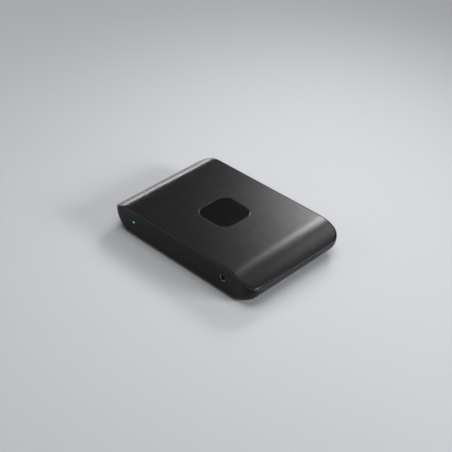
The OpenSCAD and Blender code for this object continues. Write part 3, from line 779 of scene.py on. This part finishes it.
def press_tabs(rings, fittings, roof):
    """Presses two springs into an HDMI shell, at the points that lie above the roof's height.

    The press is a product of two windows: sloping sides across the shell, and the squared sine of the
    way to the spring's middle along it.
    """
    x, y, z = np.moveaxis(rings, -1, 0)
    inside = fittings.tab_width / 2 - np.abs(np.abs(x) - fittings.tab_place)
    across = np.clip(inside / fittings.tab_slope, 0, 1)
    way = np.clip(1 - np.abs(z - fittings.tab_middle) / (fittings.tab_length / 2), 0, 1)
    along = np.sin(way * math.pi / 2) ** 2
    pressed = rings.copy()
    pressed[..., 1] = y - fittings.tab_press * across * along * (y > roof)
    return pressed


def make_hdmi(fittings, node, name):
    """Folded steel shell of an HDMI socket with two springs pressed into its roof."""
    x, y, z = hdmi_place(fittings, node)
    low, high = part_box(node)
    sheet = fittings.sheet
    roof = high.z - low.z - 2 * sheet
    rings = folded_shell(
        lambda g: hdmi_outline(fittings, g, HDMI_SIDE_POINTS), sheet, high.y - low.y, HDMI_RINGS
    )
    rings = press_tabs(rings, fittings, roof - sheet / 2)
    obj = mesh_object(name, [loft(facing_back(rings, x, y, z), joined=True)])
    adopt(obj, "socket_steel", node)


def make_usb(fittings):
    """Drawn steel shell of the USB-C socket."""
    low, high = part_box("usb_c_shell")
    depth = high.y - low.y
    rings = folded_shell(lambda g: usb_outline(fittings, g), fittings.sheet, depth, USB_RINGS)
    obj = mesh_object("usb_shell", [loft(facing_back(rings, *usb_place()), joined=True)])
    adopt(obj, "socket_steel", "usb_c_shell")


def make_sleeve(fittings):
    """Turned steel sleeve of the audio jack, with a nose that lines the hole in the front wall.

    A closed profile of radius and depth is carried round the axis: the nose, the body, the bore and a
    lip that turns by half a circle from the bore to the nose.
    """
    low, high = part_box("audio_jack_sleeve")
    mount = next(m for m in frame["record"]["mounts"] if m["name"] == "audio_in")
    bore = mount["dims"]["r_mm"] * MM
    outer = (high.x - low.x) / 2
    back = high.y - low.y
    nose = fittings.jack_hole / 2 - fittings.nose_gap
    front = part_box("base_tray")[0].y + fittings.nose_sink - low.y
    lip = (nose - bore) / 2
    mouth = front + lip
    turn = np.linspace(0, math.pi, SLEEVE_LIP_POINTS)[1:-1]
    radii = np.concatenate([[nose, nose, outer, outer, bore, bore], bore + lip * (1 - np.cos(turn))])
    depths = np.concatenate([[mouth, 0, 0, back, back, mouth], front + lip * (1 - np.sin(turn))])
    rings = np.stack([level(circle(r), z) for r, z in zip(radii, depths)])
    obj = mesh_object("jack_sleeve", [loft(facing_front(rings, *jack_place()), joined=True)])
    adopt(obj, "socket_steel", "audio_jack_sleeve")


# Shader wiring


class Wire:
    """An output socket in a node tree. Sums, differences and products of wires add Math nodes."""

    def __init__(self, tree, socket=None):
        """Starts in a tree, at a socket if there is one yet."""
        self.tree = tree
        self.socket = socket

    def make(self, kind, settings=None, inputs=None, output=0):
        """Adds a node of any kind: its settings first, then the values or wires of its sockets."""
        node = self.tree.nodes.new(kind)
        for name, value in (settings or {}).items():
            setattr(node, name, value)
        for key, value in (inputs or {}).items():
            if isinstance(value, Wire):
                self.tree.links.new(value.socket, node.inputs[key])
            else:
                node.inputs[key].default_value = value
        return Wire(self.tree, node.outputs[output])

    def math(self, operation, *values):
        """Adds a Math node."""
        return self.make("ShaderNodeMath", {"operation": operation}, dict(enumerate(values)))

    def __add__(self, other):
        return self.math("ADD", self, other)

    def __sub__(self, other):
        return self.math("SUBTRACT", self, other)

    def __rsub__(self, other):
        return self.math("SUBTRACT", other, self)

    def __mul__(self, other):
        return self.math("MULTIPLY", self, other)

    __radd__ = __add__
    __rmul__ = __mul__


def noise(place, scale, detail=2.0, stretch=(1, 1, 1)):
    """Soft noise with grains of about 1 / scale metres, drawn out along axes with a small stretch."""
    spot = place.make("ShaderNodeVectorMath", {"operation": "MULTIPLY"}, {0: place, 1: stretch})
    return place.make("ShaderNodeTexNoise", None, {"Vector": spot, "Scale": scale, "Detail": detail})


def ramp(value, low, high):
    """0 below low, 1 above high and a straight rise between them."""
    return value.make("ShaderNodeMapRange", None, {0: value, 1: low, 2: high})


def mix(mask, low, high):
    """Colour that goes from low to high with the mask."""
    return mask.make("ShaderNodeMix", {"data_type": "RGBA"}, {0: mask, 6: low, 7: high}, output=2)


def bump(height, depth, strength):
    """Normal of a surface whose height varies by the depth given."""
    inputs = {"Height": height, "Distance": depth, "Strength": strength}
    return height.make("ShaderNodeBump", None, inputs)


def shade(rgb, gain=1.0):
    """Colour with its alpha, made lighter or darker."""
    return (*(min(1.0, c * gain) for c in rgb), 1.0)


def surface(name, **constants):
    """New material, the wire of its object coordinates, and the sockets of its shader."""
    material = bpy.data.materials.new(name)
    material.use_nodes = True
    shader = material.node_tree.nodes["Principled BSDF"]
    for key, value in constants.items():
        shader.inputs[key.replace("_", " ")].default_value = value
    place = Wire(material.node_tree).make("ShaderNodeTexCoord", output="Object")
    return material, place, shader.inputs


def plug(inputs, **wires):
    """Leads wires to a shader's sockets."""
    for key, wire in wires.items():
        wire.tree.links.new(wire.socket, inputs[key.replace("_", " ")])


# Finishes


def moulded_plastic(name, rgb, roughness, specular, rub_sheen_gain):
    """Black moulded plastic: spark-eroded grain, faint clouds in tone and gloss, and lighter edges.

    The lighter edges are partly wear and partly a painted highlight that stands for the light line
    along an edge. The gain says how many times as bright as the rest that edge band is.
    """
    material, place, inputs = surface(name, Specular_IOR_Level=specular)
    grain = noise(place, scale=5200, detail=3)
    clouds = noise(place, scale=38, detail=4)
    handling = ramp(noise(place, scale=21), low=0.45, high=0.75)
    wear = ramp(noise(place, scale=240, detail=3), low=0.3, high=0.7)
    edge = place.make("ShaderNodeAttribute", {"attribute_name": "edge"}, output="Fac")
    # Edge band painted lighter: partly wear, partly a painted highlight
    rubbed_sheen = edge * (0.55 + 0.45 * wear)
    tone = mix(clouds, shade(rgb, 0.86), shade(rgb, 1.16))
    uneven = 0.03 * (clouds - 0.5) + 0.05 * (grain - 0.5)
    plug(
        inputs,
        # Base colour lightened in the edge band: a painted highlight as well as wear
        Base_Color=mix(rubbed_sheen, tone, shade(rgb, rub_sheen_gain)),
        Roughness=roughness + uneven - 0.02 * handling - 0.08 * rubbed_sheen,
        Normal=bump(grain, depth=0.012 * MM, strength=0.55),
    )
    return material


def cover_plastic(finishes):
    """Satin plastic of the cover."""
    # The edge band is 1.6 times as bright: wear and a faint painted highlight
    return moulded_plastic("cover_plastic", finishes.cover, finishes.satin, specular=0.7, rub_sheen_gain=1.6)


def tray_plastic(finishes):
    """Plastic of the tray, a little more matt than the cover's."""
    roughness = finishes.satin + 0.02
    # The edge band is 12 times as bright: a painted highlight along the rim, with some wear
    return moulded_plastic("tray_plastic", finishes.tray, roughness, specular=0.18, rub_sheen_gain=12.0)


def gloss_inlay(finishes):
    """Polished black plastic with hairline marks and a little dust."""
    material, place, inputs = surface("gloss_inlay", Coat_Weight=0.6, Coat_Roughness=0.03)
    hair = ramp(noise(place, scale=2600, detail=3, stretch=(1, 0.04, 1)), low=0.62, high=0.8)
    dust = ramp(noise(place, scale=4200, detail=1), low=0.74, high=0.8)
    clouds = noise(place, scale=60, detail=3)
    tone = mix(clouds, shade(finishes.inlay, 0.8), shade(finishes.inlay, 1.2))
    plug(
        inputs,
        Base_Color=mix(dust, tone, shade(finishes.dust)),
        Roughness=0.10 + 0.04 * clouds + 0.08 * hair + 0.3 * dust,
        Normal=bump(hair, depth=0.002 * MM, strength=0.3),
    )
    return material


def foot_rubber(finishes):
    """Matt rubber with a fine grain and pale scuffs."""
    material, place, inputs = surface("foot_rubber")
    grain = noise(place, scale=3800, detail=4)
    scuff = ramp(noise(place, scale=420, detail=5), low=0.55, high=0.8)
    plug(
        inputs,
        Base_Color=mix(scuff, shade(finishes.rubber, 0.9), shade(finishes.rubber, 1.9)),
        Roughness=0.78 + 0.12 * grain,
        Normal=bump(grain, depth=0.03 * MM, strength=0.6),
    )
    return material


def plated_metal(name, rgb, roughness, stretch):
    """Plated sheet or turned metal: fine lines along one axis, and clouds where the plating dulls."""
    material, place, inputs = surface(name, Metallic=1.0)
    lines = noise(place, scale=9000, stretch=stretch)
    clouds = noise(place, scale=420, detail=4)
    dull = ramp(noise(place, scale=900, detail=5), low=0.55, high=0.8)
    plug(
        inputs,
        Base_Color=mix(clouds, shade(rgb, 0.82), shade(rgb, 1.08)),
        Roughness=roughness + 0.10 * lines + 0.10 * dull,
        Normal=bump(lines, depth=0.004 * MM, strength=0.35),
    )
    return material


def socket_steel(finishes):
    """Bright steel of the sockets, drawn along Y."""
    return plated_metal("socket_steel", finishes.steel, roughness=0.20, stretch=(1, 0.05, 1))


def screw_steel(finishes):
    """Steel of the screws, turned along Z."""
    return plated_metal("screw_steel", finishes.screws, roughness=0.26, stretch=(1, 1, 0.08))


def tin_plate(finishes):
    """Dull tin plate, rolled along Y."""
    return plated_metal("tin_plate", finishes.tin, roughness=0.34, stretch=(1, 0.1, 1))


def standoff_brass(finishes):
    """Brass of the standoffs, turned along Z."""
    return plated_metal("standoff_brass", finishes.brass, roughness=0.24, stretch=(1, 1, 0.06))


def contact_gold(finishes):
    """Gold plating of the contacts, drawn along Y."""
    return plated_metal("contact_gold", finishes.gold, roughness=0.18, stretch=(1, 0.06, 1))


def sink_aluminium(finishes):
    """Aluminium of the heat sink, pressed along Y."""
    return plated_metal("sink_aluminium", finishes.aluminium, roughness=0.38, stretch=(1, 0.02, 1))


def moulded_resin(name, rgb, scale, speckle):
    """Moulded resin or ceramic: pale filler specks in a matt body."""
    material, place, inputs = surface(name)
    grain = noise(place, scale, detail=3)
    specks = ramp(noise(place, scale * 1.7, detail=1), low=0.66, high=0.74)
    clouds = noise(place, scale=180, detail=3)
    body = mix(clouds, shade(rgb, 0.85), shade(rgb, 1.15))
    plug(
        inputs,
        Base_Color=mix(specks * speckle, body, shade(rgb, 3.0)),
        Roughness=0.52 + 0.16 * grain,
        Normal=bump(grain, depth=0.01 * MM, strength=0.5),
    )
    return material


def chip_plastic(finishes):
    """Black resin of the chips."""
    return moulded_resin("chip_plastic", finishes.chips, scale=4200, speckle=0.6)


def socket_plastic(finishes):
    """Black plastic inside the sockets."""
    return moulded_resin("socket_plastic", finishes.sockets, scale=5200, speckle=0.3)


def coil_ferrite(finishes):
    """Grey ferrite of the coils."""
    return moulded_resin("coil_ferrite", finishes.ferrite, scale=3000, speckle=0.5)


def cap_ceramic(finishes):
    """Tan ceramic of the capacitors."""
    return moulded_resin("cap_ceramic", finishes.ceramic, scale=6000, speckle=0.2)


def pad_silicone(finishes):
    """Blue-grey silicone of the thermal pad."""
    return moulded_resin("pad_silicone", finishes.silicone, scale=2600, speckle=0.3)


def board_laminate(finishes):
    """Solder mask over glass weave: paler lines over the copper, and bare gold dots at the vias."""
    material, place, inputs = surface("board_laminate", Coat_Weight=0.3)
    bricks = {"Vector": place, "Scale": 420.0}
    tracks = ramp(place.make("ShaderNodeTexBrick", None, bricks, output="Fac"), low=0.2, high=0.6)
    vias = place.make("ShaderNodeTexVoronoi", None, {"Vector": place, "Scale": 260.0})
    bare = 1 - ramp(vias, low=0.10, high=0.14)
    weave = noise(place, scale=2400, stretch=(1, 0.3, 1))
    mask = mix(tracks, shade(finishes.mask), shade(finishes.tracks))
    plug(
        inputs,
        Base_Color=mix(bare, mask, shade(finishes.vias)),
        Roughness=0.32 + 0.12 * weave,
        Metallic=bare * 0.9,
        Normal=bump(tracks + 0.3 * weave, depth=0.02 * MM, strength=0.5),
    )
    return material


def light_clear(finishes):
    """Clear light pipe: it glows most on its axis, by the distance from it, and a little unevenly."""
    glow = finishes.light_power
    material, place, inputs = surface("light_clear", Emission_Strength=glow, Roughness=0.25)
    x, z = light_place()
    offset = place.make("ShaderNodeVectorMath", {"operation": "SUBTRACT"}, {0: place, 1: (x, 0, z)})
    across = place.make("ShaderNodeVectorMath", {"operation": "MULTIPLY"}, {0: offset, 1: (1, 0, 1)})
    distance = place.make("ShaderNodeVectorMath", {"operation": "LENGTH"}, {0: across}, output="Value")
    patches = noise(place, scale=1500)
    core = mix(patches, shade(finishes.light, 0.85), shade(finishes.light, 1.2))
    fade = ramp(distance, finishes.light_core, finishes.light_fade)
    inputs["Base Color"].default_value = shade(finishes.light, 0.1)
    plug(
        inputs,
        Emission_Color=mix(fade, core, shade(finishes.light, 0.03)),
        Normal=bump(patches, depth=0.01 * MM, strength=0.2),
    )
    return material


FINISHES = (
    cover_plastic, tray_plastic, gloss_inlay, foot_rubber, screw_steel, board_laminate, chip_plastic,
    tin_plate, coil_ferrite, cap_ceramic, sink_aluminium, pad_silicone, standoff_brass, socket_steel,
    socket_plastic, contact_gold, light_clear,
)


def finish(slot):
    """The material of a slot, made once by the function of that name."""
    made = bpy.data.materials.get("finish_" + slot)
    if made is None:
        made = next(f for f in FINISHES if f.__name__ == slot)(bpy.context.scene.box_finishes)
        made.name = "finish_" + slot
    return made


# Stage


def make_floor(studio):
    """Flat pale floor that the box stands on."""
    n = FLOOR_POINTS
    grid = np.linspace(-1, 1, n) * studio.floor_reach
    x, y = np.meshgrid(grid, grid)
    points = np.column_stack([x.ravel(), y.ravel(), np.zeros(x.size)])
    corner = (np.arange(n - 1)[:, None] * n + np.arange(n - 1)).ravel()
    faces = np.column_stack([corner, corner + 1, corner + n + 1, corner + n])
    obj = mesh_object("floor", [(points, [faces])])
    material, place, inputs = surface("floor_paint")
    clouds = noise(place, scale=3, detail=3)
    plug(
        inputs,
        Base_Color=mix(clouds, shade(studio.floor, 0.98), shade(studio.floor, 1.02)),
        Roughness=0.7 + 0.1 * clouds,
    )
    obj.data.materials.append(material)


def make_room(studio):
    """World light: pale at the horizon and darker overhead, by the height of each direction."""
    world = bpy.data.worlds.new("room")
    world.use_nodes = True
    direction = Wire(world.node_tree).make("ShaderNodeTexCoord", output="Generated")
    height = direction.make("ShaderNodeSeparateXYZ", None, {0: direction}, output="Z")
    sky = mix(ramp(height, low=0.0, high=0.2), shade(studio.horizon), shade(studio.overhead))
    plug(world.node_tree.nodes["Background"].inputs, Color=sky)
    bpy.context.scene.world = world


def make_top_light(studio):
    """Even soft light from straight above, the same all over the floor."""
    data = bpy.data.lights.new("top_light", "SUN")
    data.energy = studio.top_light
    data.angle = studio.top_angle
    bpy.context.scene.collection.objects.link(bpy.data.objects.new("top_light", data))


def make_lamp(name, watts, place, size, beam):
    """Soft rectangular lamp turned towards the box, unseen by the camera."""
    data = bpy.data.lights.new(name, "AREA")
    data.shape = "RECTANGLE"
    data.size, data.size_y = size
    data.energy = watts
    data.spread = beam
    lamp = bpy.data.objects.new(name, data)
    lamp.location = place
    lamp.rotation_euler = (-Vector(place)).to_track_quat("-Z", "Y").to_euler()
    lamp.visible_camera = False
    bpy.context.scene.collection.objects.link(lamp)


def make_camera(studio):
    """Camera at the photograph's angle."""
    data = bpy.data.cameras.new("photo_camera")
    data.sensor_width = SENSOR_WIDTH
    data.lens = studio.lens
    data.shift_x, data.shift_y = studio.shift
    data.clip_start = CLIP_START
    flat = math.cos(studio.elevation)
    right = math.sin(studio.azimuth) * flat
    front = math.cos(studio.azimuth) * flat
    back = Vector((right, -front, math.sin(studio.elevation)))
    camera = bpy.data.objects.new("photo_camera", data)
    camera.location = Vector((0, 0, studio.aim_height)) + back * studio.distance
    camera.rotation_euler = (-back).to_track_quat("-Z", "Y").to_euler()
    bpy.context.scene.collection.objects.link(camera)
    bpy.context.scene.camera = camera


# Operators


class CAPTUREBOX_OT_cover(bpy.types.Operator):
    """Makes the arched cover and the gloss inlay in its top"""

    bl_idname = "capturebox.cover"
    bl_label = "Cover and inlay"

    def execute(self, context):
        make_cover(context.scene.box_case, context.scene.box_fittings)
        make_inlay(context.scene.box_case)
        return {"FINISHED"}


class CAPTUREBOX_OT_tray(bpy.types.Operator):
    """Makes the round-sided tray with its openings"""

    bl_idname = "capturebox.tray"
    bl_label = "Tray"

    def execute(self, context):
        make_tray(context.scene.box_case, context.scene.box_fittings)
        return {"FINISHED"}


class CAPTUREBOX_OT_feet(bpy.types.Operator):
    """Makes the four rubber feet"""

    bl_idname = "capturebox.feet"
    bl_label = "Feet"

    def execute(self, context):
        make_feet(context.scene.box_fittings)
        return {"FINISHED"}


class CAPTUREBOX_OT_sockets(bpy.types.Operator):
    """Makes the metal shells of the video and data sockets"""

    bl_idname = "capturebox.sockets"
    bl_label = "Sockets"

    def execute(self, context):
        fittings = context.scene.box_fittings
        make_hdmi(fittings, "hdmi_in_shell", "hdmi_input_shell")
        make_hdmi(fittings, "hdmi_out_shell", "hdmi_output_shell")
        make_usb(fittings)
        return {"FINISHED"}


class CAPTUREBOX_OT_jack(bpy.types.Operator):
    """Makes the sleeve of the audio jack"""

    bl_idname = "capturebox.jack"
    bl_label = "Audio jack"

    def execute(self, context):
        make_sleeve(context.scene.box_fittings)
        return {"FINISHED"}


class CAPTUREBOX_OT_inner_parts(bpy.types.Operator):
    """Gives each CAD piece that still shows the finish of its material slot"""

    bl_idname = "capturebox.inner_parts"
    bl_label = "Finish of the inner parts"

    def execute(self, context):
        for part in frame["record"]["subparts"]:
            node = frame["nodes"][part["node"]]
            for slot in node.material_slots:
                slot.material = finish(part["material_slot"])
        return {"FINISHED"}


class CAPTUREBOX_OT_stage(bpy.types.Operator):
    """Makes the floor, the room, the lamps and the camera"""

    bl_idname = "capturebox.stage"
    bl_label = "Stage"

    def execute(self, context):
        studio = context.scene.box_studio
        make_floor(studio)
        make_room(studio)
        make_top_light(studio)
        for name, (place, size) in LAMPS.items():
            watts = getattr(studio, name + "_power")
            beam = math.pi if name in OPEN_LAMPS else studio.beam
            make_lamp(name + "_lamp", watts, place, size, beam)
        make_camera(studio)
        context.scene.view_settings.view_transform = "Standard"
        return {"FINISHED"}


OPERATORS = (
    CAPTUREBOX_OT_cover, CAPTUREBOX_OT_tray, CAPTUREBOX_OT_feet, CAPTUREBOX_OT_sockets,
    CAPTUREBOX_OT_jack, CAPTUREBOX_OT_inner_parts, CAPTUREBOX_OT_stage,
)


class CAPTUREBOX_PT_build(bpy.types.Panel):
    """Lists the steps that build the box"""

    bl_idname = "CAPTUREBOX_PT_build"
    bl_label = "Capture box"
    bl_space_type = "VIEW_3D"
    bl_region_type = "UI"
    bl_category = "Capture box"

    def draw(self, context):
        for step in OPERATORS:
            self.layout.operator(step.bl_idname)


GROUPS = {
    "box_case": CaseSizes,
    "box_fittings": FittingSizes,
    "box_finishes": Finishes,
    "box_studio": Studio,
}


def register():
    """Makes the classes known, and gives each scene its groups of properties."""
    for cls in (*GROUPS.values(), *OPERATORS, CAPTUREBOX_PT_build):
        bpy.utils.register_class(cls)
    for name, group in GROUPS.items():
        setattr(bpy.types.Scene, name, bpy.props.PointerProperty(type=group))


def unregister():
    """Takes the properties and the classes away again."""
    for name in GROUPS:
        delattr(bpy.types.Scene, name)
    for cls in (CAPTUREBOX_PT_build, *OPERATORS, *GROUPS.values()):
        bpy.utils.unregister_class(cls)


def main():
    """Builds every piece and the stage."""
    register()
    for step in OPERATORS:
        family, name = step.bl_idname.split(".")
        getattr(getattr(bpy.ops, family), name)()


if __name__ == "__main__":
    main()
